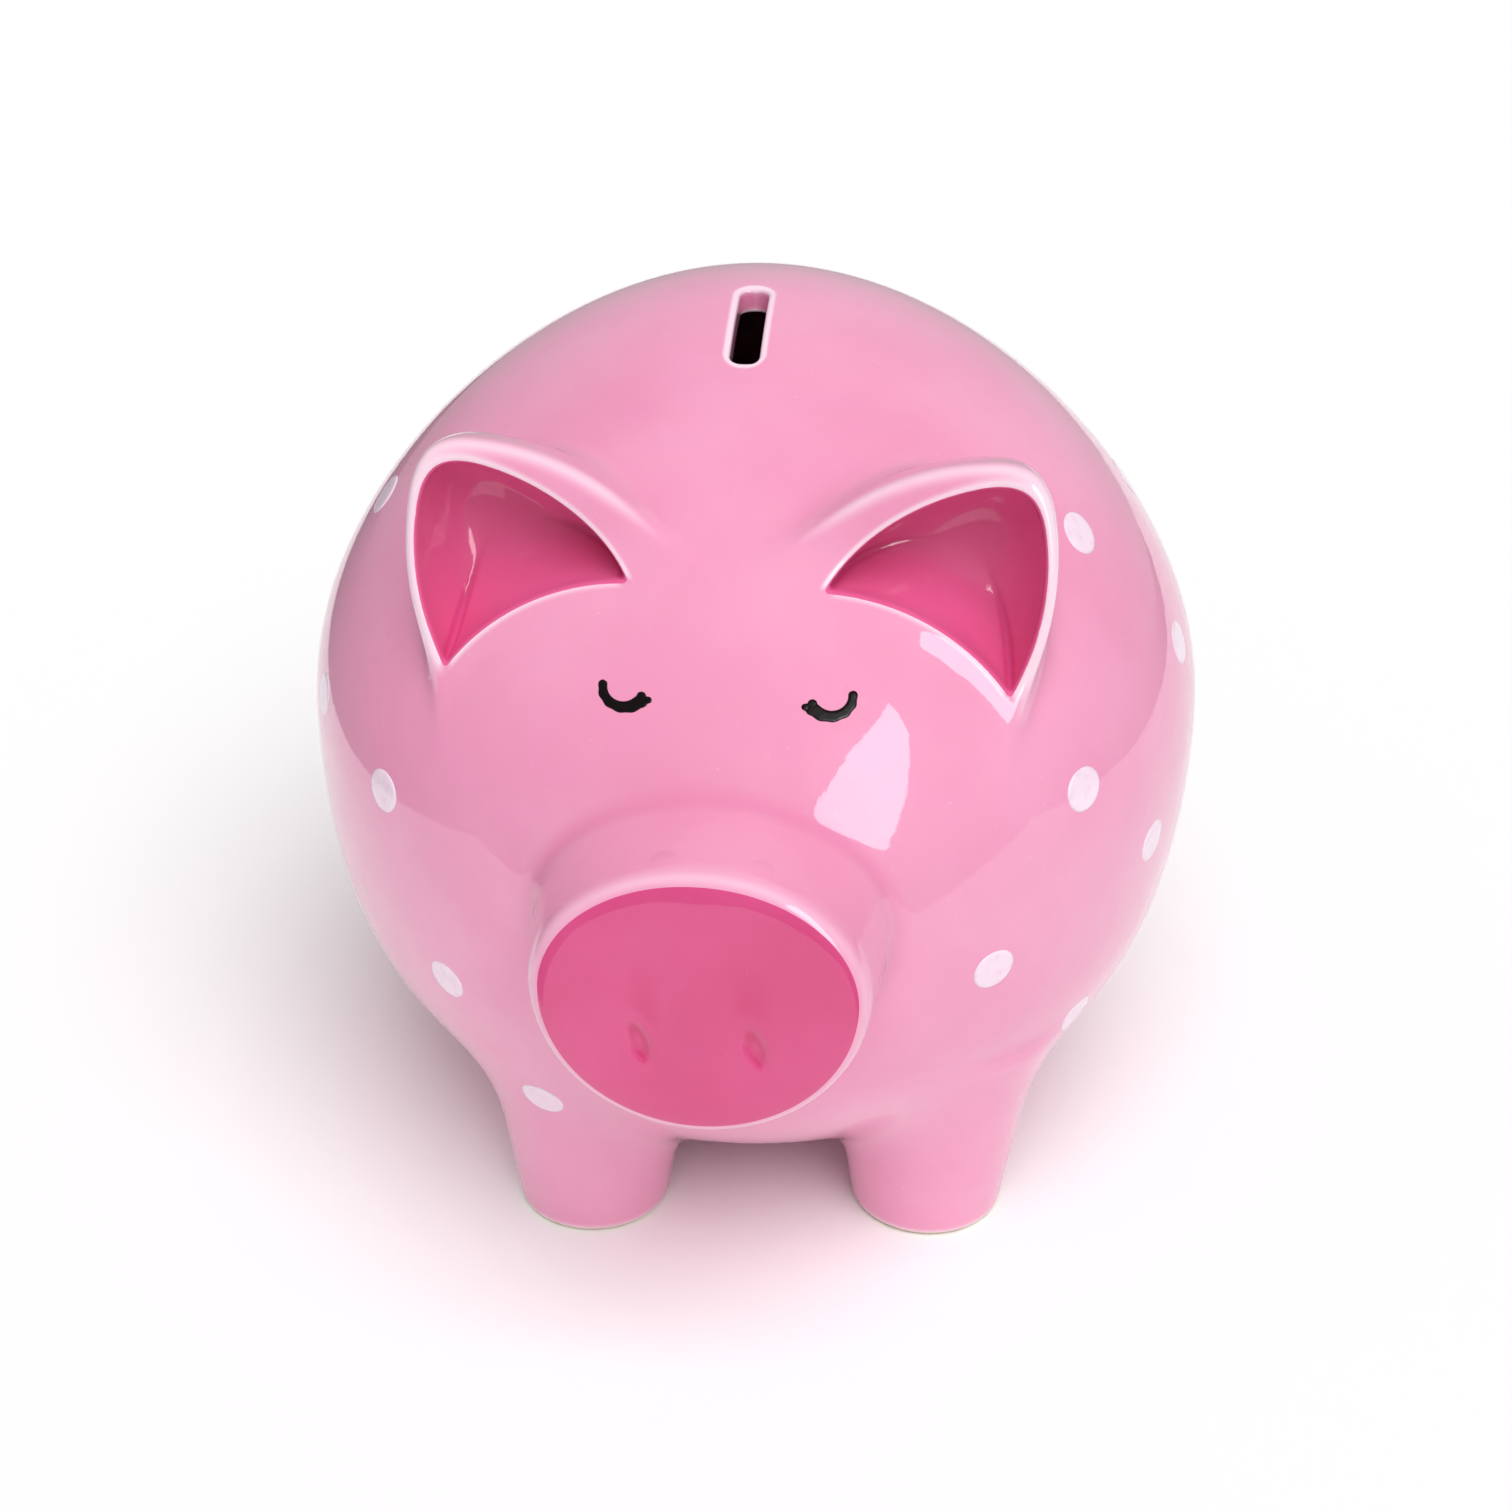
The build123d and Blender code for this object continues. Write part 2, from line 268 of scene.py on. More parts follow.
def tail_line():
    """Points and radii along the middle of the curl, which thins towards its tip."""
    end_y = tail_high.y - TAIL_TIP_RADIUS
    share = np.linspace(0, 1, TAIL_POINTS)
    turn = 2 * math.pi * TAIL_TURNS * share
    points = np.stack([
        TAIL_CURL_RADIUS * np.cos(turn),
        TAIL_START_Y + (end_y - TAIL_START_Y) * share,
        TAIL_Z - TAIL_CURL_RADIUS * np.sin(turn),
    ], axis=1)
    return points, TAIL_RADIUS + (TAIL_TIP_RADIUS - TAIL_RADIUS) * share


def tail(x, y, z):
    """Distance to the curl, worked out only behind the body."""
    field = np.full(np.shape(x), TAIL_FAR, x.dtype)
    near = y > TAIL_START_Y - TAIL_ROOM
    here = np.stack([x[near], y[near], z[near]], axis=-1)
    if len(here):
        points, radii = tail_line()
        best = np.full(len(here), TAIL_FAR)
        for start, end, thick, thin in zip(points[:-1], points[1:], radii[:-1], radii[1:]):
            along = end - start
            share = np.clip((here - start) @ along / (along @ along), 0, 1)
            gap = np.linalg.norm(here - start - share[:, None] * along, axis=1)
            best = smooth_min(best, gap - thick - share * (thin - thick), TAIL_JOIN)
        field[near] = best
    return field


def slot(x, y, z):
    """The coin slot, a rounded oblong that runs up through the crown."""
    out_x = np.abs(x - SLOT_X) - SLOT_HALF_WIDTH + SLOT_CORNER
    out_y = np.abs(y - SLOT_Y) - SLOT_HALF_LENGTH + SLOT_CORNER
    outside = np.hypot(np.maximum(out_x, 0), np.maximum(out_y, 0))
    oblong = outside + np.minimum(np.maximum(out_x, out_y), 0) - SLOT_CORNER
    return np.maximum(oblong, WAIST_Z - z)


def belly_hole(x, y, z):
    return np.maximum(np.hypot(x, y) - HOLE_RADIUS, z - WAIST_Z)


def cavity(x, y, z):
    """The space for coins, which keeps a wall's thickness behind the ear bowls."""
    return smooth_max(egg(x, y, z, WALL), BOWL_WALL - ear_bowl(x, y, z), BOWL_CORNER)


def ceramic(x, y, z):
    """The whole glazed pig, hollow inside."""
    skin = smooth_min(egg(x, y, z), leg(x, y, z), LEG_FILLET)
    nose = smooth_max(snout(x, y, z), -nostrils(x, y, z), NOSTRIL_LIP)
    skin = smooth_min(skin, nose, SNOUT_FILLET)
    skin = smooth_min(skin, tail(x, y, z), TAIL_FILLET)
    skin = smooth_min(skin, ear_hood(x, y, z), EAR_FILLET)
    skin = smooth_max(skin, -slot(x, y, z), SLOT_LIP)
    skin = smooth_max(skin, -belly_hole(x, y, z), HOLE_LIP)
    skin = smooth_max(skin, -cavity(x, y, z), CAVITY_EDGE)
    return smooth_max(skin, -ear_bowl(x, y, z), EAR_LIP)


# ---- Meshing ----


def mesh_of(field, low, high, step):
    """Points and triangles of a field's zero level within a box, with outward faces."""
    axes = [np.arange(a, b + step, step, dtype=np.float32) for a, b in zip(low, high)]
    values = np.empty([len(axis) for axis in axes], np.float32)
    for first in range(0, len(axes[1]), SLAB):
        rows = slice(first, first + SLAB)
        grid_points = np.meshgrid(axes[0], axes[1][rows], axes[2], indexing="ij")
        values[:, rows] = np.clip(field(*grid_points), -FAR, FAR)
    grid = openvdb.FloatGrid(background=FAR)
    grid.copyFromArray(values)
    points, quads = grid.convertToQuads(isovalue=0.0)
    points = points.astype(np.float64) * step + np.array([axis[0] for axis in axes])
    triangles = np.vstack([quads[:, (0, 1, 2)], quads[:, (0, 2, 3)]]).astype(np.int64)
    return points, facing_out(field, points, triangles)


def facing_out(field, points, triangles):
    """The triangles, all turned round if they face into the solid."""
    _, gradient = slope_of(field, points)
    corners = points[triangles]
    facing = np.cross(corners[:, 1] - corners[:, 0], corners[:, 2] - corners[:, 0])
    agree = (facing * gradient[triangles[:, 0]]).sum()
    return triangles if agree > 0 else triangles[:, ::-1].copy()


def slope_of(field, points, step=0.05):
    """The field and its gradient at each point."""
    value = field(*points.T)
    sides = []
    for axis in range(3):
        offset = np.zeros(3)
        offset[axis] = step
        rise = field(*(points + offset).T) - field(*(points - offset).T)
        sides.append(rise / (2 * step))
    return value, np.stack(sides, axis=1)


def bend_of(field, points, step=1.2):
    """Mean curvature of the surface at each point: above zero at a ridge, below in a dip."""
    total = -6 * field(*points.T)
    for axis in range(3):
        for sign in (-step, step):
            offset = np.zeros(3)
            offset[axis] = sign
            total = total + field(*(points + offset).T)
    return total / step**2


def settle(field, points, rounds=2):
    """Moves the points onto the zero level, and gives their outward directions."""
    for _ in range(rounds):
        value, gradient = slope_of(field, points)
        steepness = np.maximum((gradient**2).sum(1), 0.05)
        points = points - np.clip(value / steepness, -0.6, 0.6)[:, None] * gradient
    _, gradient = slope_of(field, points)
    return points, gradient / np.maximum(np.linalg.norm(gradient, axis=1), 1e-6)[:, None]


def refined(points, triangles, chosen):
    """Halves every edge of the chosen triangles, and mends their neighbours to match."""
    sides = np.stack([triangles, np.roll(triangles, -1, axis=1)], axis=2)
    edges, index = np.unique(np.sort(sides.reshape(-1, 2), axis=1), axis=0, return_inverse=True)
    index = index.reshape(-1, 3)
    halved = np.zeros(len(edges), bool)
    halved[index[chosen].ravel()] = True
    middle = np.full(len(edges), -1)
    middle[halved] = len(points) + np.arange(halved.sum())
    points = np.vstack([points, points[edges[halved]].mean(axis=1)])
    count = halved[index].sum(axis=1)
    made = [triangles[count == 0]]
    for number, turn_to in ((1, True), (2, False), (3, True)):
        these = count == number
        first = np.argmax(halved[index[these]] == turn_to, axis=1)
        rows = np.arange(len(first))
        a, b, c = (triangles[these][rows, (first + turn) % 3] for turn in range(3))
        ab, bc, ca = (middle[index[these][rows, (first + turn) % 3]] for turn in range(3))
        patterns = {
            1: ((a, ab, c), (ab, b, c)),
            2: ((a, b, bc), (a, bc, ca), (ca, bc, c)),
            3: ((a, ab, ca), (ab, b, bc), (ca, bc, c), (ab, bc, ca)),
        }
        made += [np.stack(corners, axis=1) for corners in patterns[number]]
    return points, np.vstack(made)


def cut(points, triangles, values, labels):
    """Splits the triangles where values change sign, and adds a label: inside or not."""
    above = values[triangles] > 0
    mixed = above.any(axis=1) & ~above.all(axis=1)
    whole, split, above = triangles[~mixed], triangles[mixed], above[mixed]
    single = above.sum(axis=1) == 1
    lone = np.where(single, above.argmax(axis=1), above.argmin(axis=1))
    rows = np.arange(len(split))
    a, b, c = (split[rows, (lone + turn) % 3] for turn in range(3))
    edges = np.sort(np.vstack([np.stack([a, b], 1), np.stack([a, c], 1)]), axis=1)
    unique, index = np.unique(edges, axis=0, return_inverse=True)
    index = index.reshape(-1) + len(points)
    start, end = unique.T
    share = (values[start] / (values[start] - values[end]))[:, None]
    fresh = points[start] + share * (points[end] - points[start])
    ab, ac = index[: len(split)], index[len(split):]
    parts = [np.stack(corner, 1) for corner in ((a, ab, ac), (ab, b, c), (ab, c, ac))]
    whole_inside = ~(values[whole] > 0).any(axis=1)
    inside = np.concatenate([whole_inside, ~single, single, single])
    labels = [np.concatenate([old[~mixed]] + [old[mixed]] * 3) for old in labels]
    return np.vstack([points, fresh]), np.vstack([whole, *parts]), labels + [inside]


def boundary_edges(triangles):
    """The directed edges that only one triangle uses."""
    edges = np.vstack([triangles[:, (0, 1)], triangles[:, (1, 2)], triangles[:, (2, 0)]])
    keys = np.sort(edges, axis=1)
    _, index, counts = np.unique(keys, axis=0, return_inverse=True, return_counts=True)
    return edges[counts[index.reshape(-1)] == 1]


def underside(triangles, offset):
    """Faces that close a patch: its copy further in, and the wall between their edges."""
    a, b = boundary_edges(triangles).T
    walls = [np.stack([b, a, a + offset], 1), np.stack([b, a + offset, b + offset], 1)]
    return np.vstack([triangles[:, ::-1] + offset, *walls])


def new_object(name, points, faces):
    mesh = bpy.data.meshes.new(name)
    mesh.vertices.add(len(points))
    mesh.vertices.foreach_set("co", (points * MM).astype(np.float32).ravel())
    mesh.loops.add(faces.size)
    mesh.loops.foreach_set("vertex_index", faces.astype(np.int32).ravel())
    mesh.polygons.add(len(faces))
    mesh.polygons.foreach_set("loop_start", np.arange(0, faces.size, 3, dtype=np.int32))
    mesh.update(calc_edges=True)
    mesh.polygons.foreach_set("use_smooth", np.ones(len(faces), bool))
    obj = bpy.data.objects.new(name, mesh)
    bpy.context.scene.collection.objects.link(obj)
    return obj


def shaped(name, points, normals, bend, shown, hidden):
    """An object of shown faces, with the surface's own normals, and flat hidden ones."""
    used, faces = np.unique(np.vstack([shown, hidden]), return_inverse=True)
    faces = faces.reshape(-1, 3)
    obj = new_object(name, points[used], faces)
    corners = points[used][faces]
    flat = np.cross(corners[:, 1] - corners[:, 0], corners[:, 2] - corners[:, 0])
    flat /= np.maximum(np.linalg.norm(flat, axis=1), 1e-12)[:, None]
    facing = normals[used][faces]
    facing[len(shown):] = flat[len(shown):, None]
    obj.data.normals_split_custom_set(facing.reshape(-1, 3))
    ridge = obj.data.attributes.new("bend", "FLOAT", "POINT")
    ridge.data.foreach_set("value", bend[used].astype(np.float32))
    return obj


# ---- The glazed skin, cut into its castings ----


def ear_zone(x, y, z):
    return np.minimum(ear_hood(x, y, z) - EAR_FILLET, ear_bowl(x, y, z) - EAR_LIP)


def lining_zone(x, y, z):
    return ear_bowl(x, y, z) - 0.25 * EAR_LIP


def snout_zone(x, y, z):
    return snout(x, y, z) - SNOUT_FILLET


def leg_zone(x, y, z):
    return leg(x, y, z) - LEG_FILLET


def foot_zone(x, y, z):
    return z - BARE_FOOT


def tail_zone(x, y, z):
    return tail(x, y, z) - TAIL_FILLET


ZONES = (lining_zone, ear_zone, disc_edge, snout_zone, foot_zone, leg_zone, tail_zone)
LINING, EAR, DISC, SNOUT, FOOT, LEG, TAIL, BODY = range(8)


def glazed_skin():
    """The settled skin, and the number of the first zone that each triangle lies in."""
    low = (body_low.x - MARGIN, -SNOUT_REACH - MARGIN, -MARGIN)
    high = (body_high.x + MARGIN, tail_high.y + MARGIN, CROWN_Z + MARGIN)
    points, triangles = mesh_of(ceramic, low, high, VOXEL)
    points, _ = settle(ceramic, points)
    tight = np.abs(bend_of(ceramic, points)) > TIGHT_BEND
    points, triangles = refined(points, triangles, tight[triangles].any(axis=1))
    points, _ = settle(ceramic, points, 1)
    labels = []
    for zone in ZONES:
        here = points.T
        in_cavity = (egg(*here, WALL) < 0.7) & (ear_bowl(*here) > 1.2)
        values = np.where(in_cavity, FAR, zone(*here))
        points, triangles, labels = cut(points, triangles, values, labels)
    points, normals = settle(ceramic, points, 1)
    zones = np.where(np.any(labels, axis=0), np.argmax(labels, axis=0), BODY)
    return points, normals, triangles, zones


def castings():
    """Builds each casting as a closed piece, and the body as the rest of the skin."""
    points, normals, triangles, zones = glazed_skin()
    bend = bend_of(ceramic, points)
    offset = len(points)
    points = np.vstack([points, points - COAT * normals])
    normals, bend = np.tile(normals, (2, 1)), np.tile(bend, 2)
    middle = points[triangles].mean(axis=1)
    left, front = middle[:, 0] > 0, middle[:, 1] < 0
    chosen = {"snout": (zones == SNOUT), "snout_disc": zones == DISC, "tail": zones == TAIL}
    for side, here in (("left", left), ("right", ~left)):
        chosen[f"{side}_ear"] = (zones == EAR) & here
        chosen[f"{side}_ear_lining"] = (zones == LINING) & here
        for end, there in (("front", front), ("rear", ~front)):
            legs = (zones == LEG) | ((zones == FOOT) & (middle[:, 2] < BARE_FOOT + 1))
            chosen[f"{end}_{side}_leg"] = legs & here & there
    rest = np.ones(len(triangles), bool)
    pieces, backing = {}, []
    for name, patch in chosen.items():
        rest &= ~patch
        under = underside(triangles[patch], offset)
        pieces[name] = shaped(name + "_cast", points, normals, bend, triangles[patch], under)
        backing.append(under[:, ::-1])
        if name.endswith("leg"):
            bare = (zones[patch] == FOOT).astype(np.int32)
            index = np.concatenate([bare, np.zeros(len(under), np.int32)])
            pieces[name].data.polygons.foreach_set("material_index", index)
    pieces["body_shell"] = shaped(
        "body_cast", points, normals, bend, triangles[rest], np.vstack(backing))
    return pieces


# ---- Prints: thin raised shapes that lie on the glaze ----


def printed(centre, across, up, outline, size, step):
    """Points, normals and shown and hidden faces of one print, from its flat outline."""
    count = int(2 * size / step) + 1
    line = np.linspace(-size, size, count)
    u, v = np.meshgrid(line, line, indexing="ij")
    cell = np.arange(count * count).reshape(count, count)
    corners = cell[:-1, :-1], cell[1:, :-1], cell[1:, 1:], cell[:-1, 1:]
    a, b, c, d = (corner.ravel() for corner in corners)
    triangles = np.vstack([np.stack([a, b, c], 1), np.stack([a, c, d], 1)])
    flat = np.stack([u.ravel(), v.ravel(), 0 * u.ravel()], axis=1)
    flat, triangles, labels = cut(flat, triangles, outline(flat[:, 0], flat[:, 1]), [])
    used, shown = np.unique(triangles[labels[0]], return_inverse=True)
    shown, flat = shown.reshape(-1, 3), flat[used]
    points = centre + flat[:, :1] * across + flat[:, 1:2] * up
    points, normals = settle(ceramic, points, 12)
    inward = np.clip(-outline(flat[:, 0], flat[:, 1]) / PRINT_ROUND, 0, 1)
    height = PRINT_HEIGHT * np.sqrt(1 - (1 - inward) ** 2)
    top, bottom = points + height[:, None] * normals, points - PRINT_SUNK * normals
    return np.vstack([top, bottom]), shown, underside(shown, len(points))


def print_object(name, prints):
    """One object of several prints, smooth on top."""
    points, shown, hidden, count = [], [], [], 0
    for some_points, some_shown, some_hidden in prints:
        points.append(some_points)
        shown.append(some_shown + count)
        hidden.append(some_hidden + count)
        count += len(some_points)
    obj = new_object(name, np.vstack(points), np.vstack([*shown, *hidden]))
    smooth = np.zeros(len(obj.data.polygons), bool)
    smooth[: sum(map(len, shown))] = True
    obj.data.polygons.foreach_set("use_smooth", smooth)
    return obj


def eye_outline(side):
    """A closed eye: a downward arc that thickens towards the nose and ends in lashes."""
    first, last = (math.radians(degrees) for degrees in EYE_SWEEP)

    def outline(u, v):
        u, v = -u * side, v / EYE_SQUASH
        swing = np.clip(np.arctan2(u, -v), first, last)
        share = (swing - first) / (last - first)
        stroke = EYE_STROKE[0] + (EYE_STROKE[1] - EYE_STROKE[0]) * share
        reach = EYE_HOLLOW + stroke / 2
        gap = np.hypot(u - reach * np.sin(swing), v + reach * np.cos(swing))
        scallop = np.where(np.hypot(u, v) > reach, 0.1 * np.cos(12 * swing), 0)
        field = gap - stroke / 2 - scallop
        for degrees, lash_reach, radius in LASHES:
            angle = math.radians(degrees)
            lash = np.hypot(u - lash_reach * math.sin(angle), v + lash_reach * math.cos(angle))
            field = smooth_min(field, lash - radius, 0.5)
        return field
    return outline


def on_surface(x, z, y=-90.0):
    """The point of the skin at this x and z, near this y, and its outward direction."""
    point = np.array([[x, y, z]])
    for _ in range(20):
        value, gradient = slope_of(ceramic, point)
        point = point - np.array([0, 1, 0]) * (value / gradient[:, 1])[:, None]
    return point[0], gradient[0] / np.linalg.norm(gradient[0])


def eye(name, side):
    """The eye on one side: 1 is the pig's left."""
    centre, normal = on_surface(side * EYE[0] + EYE_SHIFT, EYE[1])
    up = np.array([0, 0, 1.0]) - normal[2] * normal
    up /= np.linalg.norm(up)
    across = np.array([1.0, 0, 0]) - up[0] * up
    return print_object(name, [printed(centre, across, up, eye_outline(side), *EYE_GRID)])


def dots():
    """Dots round both sides, repeated half a turn on for the back."""
    made = []
    for turn in (0, 180):
        for degrees, height in DOT_PLACES:
            angle = math.radians(degrees + turn)
            out = np.array([math.sin(angle), -math.cos(angle), 0])
            line = np.array([out * radius + (0, 0, height) for radius in np.linspace(40, 105, 400)])
            centre = line[np.argmin(np.abs(egg(*line.T)))]
            _, gradient = slope_of(egg, centre[None])
            normal = gradient[0] / np.linalg.norm(gradient[0])
            across = np.cross([0, 0, 1.0], normal)
            across /= np.linalg.norm(across)
            up = np.cross(normal, across)
            made.append(printed(centre, across, up, dot_outline, *DOT_GRID))
    return print_object("white_dots", made)


def dot_outline(u, v):
    """A hand-dabbed dot, not quite round."""
    swing = np.arctan2(v, u)
    wobble = 0.015 * np.sin(2 * swing + 0.7) + 0.01 * np.sin(3 * swing)
    return np.hypot(u, v) - DOT_RADIUS * (1 + wobble)


# ---- Materials ----


def linear(*rgb):
    """A colour from 8-bit sRGB values to the linear ones that shaders take."""
    scaled = [value / 255 for value in rgb]
    return tuple(v / 12.92 if v < 0.04045 else ((v + 0.055) / 1.055) ** 2.4 for v in scaled)


class Nodes:
    """A new material, and short ways to add and join its nodes."""

    def __init__(self, name):
        self.material = bpy.data.materials.new(name)
        self.material.use_nodes = True
        self.tree = self.material.node_tree
        self.shader = self.tree.nodes["Principled BSDF"]
        self.place = self.tree.nodes.new("ShaderNodeTexCoord").outputs["Object"]

    def link(self, output, target):
        self.tree.links.new(output, target)

    def noise(self, scale, detail=3.0, roughness=0.5):
        node = self.tree.nodes.new("ShaderNodeTexNoise")
        node.inputs["Scale"].default_value = scale
        node.inputs["Detail"].default_value = detail
        node.inputs["Roughness"].default_value = roughness
        self.link(self.place, node.inputs["Vector"])
        return node.outputs["Fac"]

    def attribute(self, name):
        node = self.tree.nodes.new("ShaderNodeAttribute")
        node.attribute_name = name
        return node.outputs["Fac"]

    def remap(self, value, low, high, to_low=0.0, to_high=1.0):
        node = self.tree.nodes.new("ShaderNodeMapRange")
        node.interpolation_type = "SMOOTHSTEP"
        for socket, number in zip(node.inputs[1:5], (low, high, to_low, to_high)):
            socket.default_value = number
        self.link(value, node.inputs[0])
        return node.outputs[0]

    def mix(self, factor, first, second):
        """A colour between two, each a colour or another node's output."""
        node = self.tree.nodes.new("ShaderNodeMix")
        node.data_type = "RGBA"
        self.link(factor, node.inputs["Factor"])
        for socket, colour in zip((node.inputs[6], node.inputs[7]), (first, second)):
            if isinstance(colour, tuple):
                socket.default_value = (*colour, 1)
            else:
                self.link(colour, socket)
        return node.outputs[2]

    def bump(self, height, strength, distance, after=None):
        node = self.tree.nodes.new("ShaderNodeBump")
        node.inputs["Strength"].default_value = strength
        node.inputs["Distance"].default_value = distance
        self.link(height, node.inputs["Height"])
        if after is not None:
            self.link(after, node.inputs["Normal"])
        return node.outputs["Normal"]

    def set(self, **values):
        for name, value in values.items():
            self.shader.inputs[name.replace("_", " ")].default_value = value


def glaze(name, main, deep, pale_and_highlight, dip=(-0.02, -0.22), ridge=(0.13, 0.5, 0, 0.75)):
    """Clear-coated glaze: dips get pooled glaze and painted shade, ridges thin glaze and painted
    highlights.
    """
    nodes = Nodes(name)
    bend = nodes.attribute("bend")
    cloudy = nodes.mix(nodes.remap(nodes.noise(28, 4), 0.35, 0.7, 0, 0.35), main, deep)
    # Darker in dips: partly glaze pooled thick, partly painted shade in creases and nostril pits.
    pooled_and_shaded = nodes.mix(nodes.remap(bend, *dip, 0, 0.75), cloudy, deep)
    # Paler on ridges and rims: partly glaze gone thin, partly a painted highlight line.
    thinned_and_highlit = nodes.mix(nodes.remap(bend, *ridge), pooled_and_shaded, pale_and_highlight)
    specks = nodes.remap(nodes.noise(900, 2, 0.6), 0.72, 0.78, 0, 0.25)
    nodes.link(nodes.mix(specks, thinned_and_highlit, pale_and_highlight), nodes.shader.inputs["Base Color"])
    uneven = nodes.remap(nodes.noise(60, 3), 0.3, 0.7, 0.32, 0.42)
    nodes.link(uneven, nodes.shader.inputs["Roughness"])
    nodes.set(Coat_Weight=1.0, Coat_Roughness=0.025, Coat_IOR=1.5)
    nodes.set(IOR=1.35, Specular_IOR_Level=0.3)
    wavy = nodes.bump(nodes.noise(95, 2), 0.10, 0.0006)
    skin = nodes.bump(nodes.noise(700, 3), 0.04, 0.0002, wavy)
    nodes.link(skin, nodes.shader.inputs["Coat Normal"])
    nodes.link(skin, nodes.shader.inputs["Normal"])
    return nodes.material


def bare_clay():
    """Cream fired clay with no glaze, grainy and faintly stained."""
    nodes = Nodes("bare_clay")
    cream, stained = linear(240, 224, 205), linear(214, 190, 166)
    colour = nodes.mix(nodes.remap(nodes.noise(260, 5), 0.45, 0.75), cream, stained)
    nodes.link(colour, nodes.shader.inputs["Base Color"])
    nodes.link(nodes.bump(nodes.noise(1500, 5, 0.7), 0.5, 0.0003), nodes.shader.inputs["Normal"])
    nodes.set(Roughness=0.85, Specular_IOR_Level=0.25)
    return nodes.material


def print_ink(name, ink, worn, coat):
    """Screen-printed enamel with a slightly uneven film."""
    nodes = Nodes(name)
    colour = nodes.mix(nodes.remap(nodes.noise(420, 4), 0.45, 0.8), ink, worn)
    nodes.link(colour, nodes.shader.inputs["Base Color"])
    uneven = nodes.remap(nodes.noise(700, 3), 0.3, 0.7, 0.28, 0.42)
    nodes.link(uneven, nodes.shader.inputs["Roughness"])
    nodes.link(nodes.bump(nodes.noise(900, 4), 0.15, 0.0002), nodes.shader.inputs["Normal"])
    nodes.set(Coat_Weight=coat, Coat_Roughness=0.05)
    return nodes.material


def soft_vinyl():
    """Clear soft vinyl gone faintly milky, with a moulded satin finish."""
    nodes = Nodes("soft_vinyl")
    milky, clear = linear(226, 228, 226), linear(205, 210, 212)
    colour = nodes.mix(nodes.remap(nodes.noise(120, 4), 0.35, 0.7), milky, clear)
    nodes.link(colour, nodes.shader.inputs["Base Color"])
    uneven = nodes.remap(nodes.noise(350, 3), 0.3, 0.7, 0.22, 0.36)
    nodes.link(uneven, nodes.shader.inputs["Roughness"])
    nodes.link(nodes.bump(nodes.noise(1200, 3), 0.2, 0.0002), nodes.shader.inputs["Normal"])
    nodes.set(Transmission_Weight=0.45, IOR=1.45)
    nodes.set(Subsurface_Weight=0.2, Subsurface_Radius=(0.004,) * 3)
    return nodes.material


# ---- Assembly ----

# In each glaze the ridge colour is partly a painted highlight, and the deep dip colour partly
# painted shade.
pink = glaze("pink_glaze", linear(241, 161, 195), linear(232, 134, 174), linear(255, 234, 245))
magenta = glaze(
    "magenta_glaze", linear(220, 80, 137), linear(202, 42, 102), linear(236, 122, 168),
    (-0.2, -0.45), (0.5, 0.9, 0, 0.2))
# The ear linings' magenta is a lighter copy of the snout's: painted light that lifts the shaded ear
# bowls.
ear_magenta_lit = glaze(
    "ear_magenta_glaze", linear(230, 102, 155), linear(216, 70, 130), linear(236, 122, 168),
    (-0.1, -0.5), (0.3, 0.9, 0, 0.3))
clay = bare_clay()
white = print_ink("white_print", linear(248, 224, 240), linear(240, 208, 228), 0.8)
black = print_ink("black_print", linear(12, 4, 6), linear(22, 9, 11), 0.0)


def finish_piece(piece, node, slot, *materials):
    for material in materials:
        piece.data.materials.append(material)
    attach(piece, "bank")
    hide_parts(node)


for node, piece in castings().items():
    if node == "snout_disc":
        finish_piece(piece, node, "magenta_glaze", magenta)
    elif node.endswith("lining"):
        finish_piece(piece, node, "magenta_glaze", ear_magenta_lit)
    elif node.endswith("leg"):
        index = np.empty(len(piece.data.polygons), np.int32)
        piece.data.polygons.foreach_get("material_index", index)
        finish_piece(piece, node, "pink_glaze", pink, clay)
        piece.data.polygons.foreach_set("material_index", index)
    else:
        finish_piece(piece, node, "pink_glaze", pink)

finish_piece(dots(), "polka_dots", "white_print", white)
finish_piece(eye("left_eye_print", 1), "left_eye", "black_print", black)
finish_piece(eye("right_eye_print", -1), "right_eye", "black_print", black)

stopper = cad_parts["stopper"]
stopper.data.materials.clear()
stopper.data.materials.append(soft_vinyl())


# ---- Stage, lights and camera, in metres ----

# The white sheet under the pig, seen from above: its narrow tongue reaches past the snout.
SHEET = ((-0.32, 0.9), (-0.32, -0.205), (-0.11, -0.205), (-0.11, -0.36),
         (0.11, -0.36), (0.11, -0.205), (0.55, -0.205), (0.55, 0.9))
SWEEP_MIDDLE = (0.3, 0.9, 1.0)  # the brightest place of the paper behind the pig
SWEEP_SPREAD = 2.6  # half its width, and how far it rises
SWEEP_FADE = (0.4, 2.0, 0.6, 0.16)  # distances from its middle, and its brightness at each
WINDOW = ((42, 31), (45, 23), (35, -9), (24, -5), (20, 11), (28, 22))  # azimuths and elevations
WINDOW_DISTANCE, WINDOW_STRENGTH = 1.4, 6.0
AMBIENT, DIM_ROOM = 0.35, (0.16, 0.145, 0.155)  # the world's light, and how reflections see it
KEY = (23, 59, 2.5, 50)  # azimuth, elevation, strength and spread


def plain(name, colour, strength=0.0):
    nodes = Nodes(name)
    nodes.set(Base_Color=(*colour, 1), Roughness=0.9, Specular_IOR_Level=0.0)
    if strength:
        nodes.set(Emission_Color=(*colour, 1), Emission_Strength=strength)
    return nodes.material


